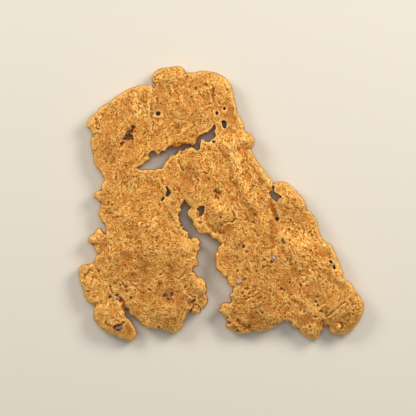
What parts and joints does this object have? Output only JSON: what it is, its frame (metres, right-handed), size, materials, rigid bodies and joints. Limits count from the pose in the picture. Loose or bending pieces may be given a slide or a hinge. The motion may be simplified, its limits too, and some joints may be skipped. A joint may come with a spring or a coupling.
{
  "type": "gold nugget",
  "caption": "Flattened native gold nugget with two uneven legs, a long slot, small holes and quartz grains in its hollows.",
  "frame": {"origin": "on the surface it rests on, under the middle of its outline's box", "axes": "+X across the nugget, the longer way; +Y up it, from the two legs to the top knob; +Z out of the side that faces up, through its thickness"},
  "size_m": [0.0573, 0.0552, 0.0053],
  "materials": {
    "native_gold": "satin",
    "quartz": "matte"
  },
  "bodies": {
    "root": {"gold_nugget": "native_gold", "quartz_at_notch": "quartz", "quartz_in_fold_valley": "quartz", "quartz_in_edge_slit": "quartz", "quartz_on_right_shoulder": "quartz", "quartz_in_left_hollow": "quartz", "quartz_beside_foot_groove": "quartz", "quartz_in_left_foot": "quartz", "quartz_in_lower_left_lobe": "quartz"}
  },
  "joints": []
}
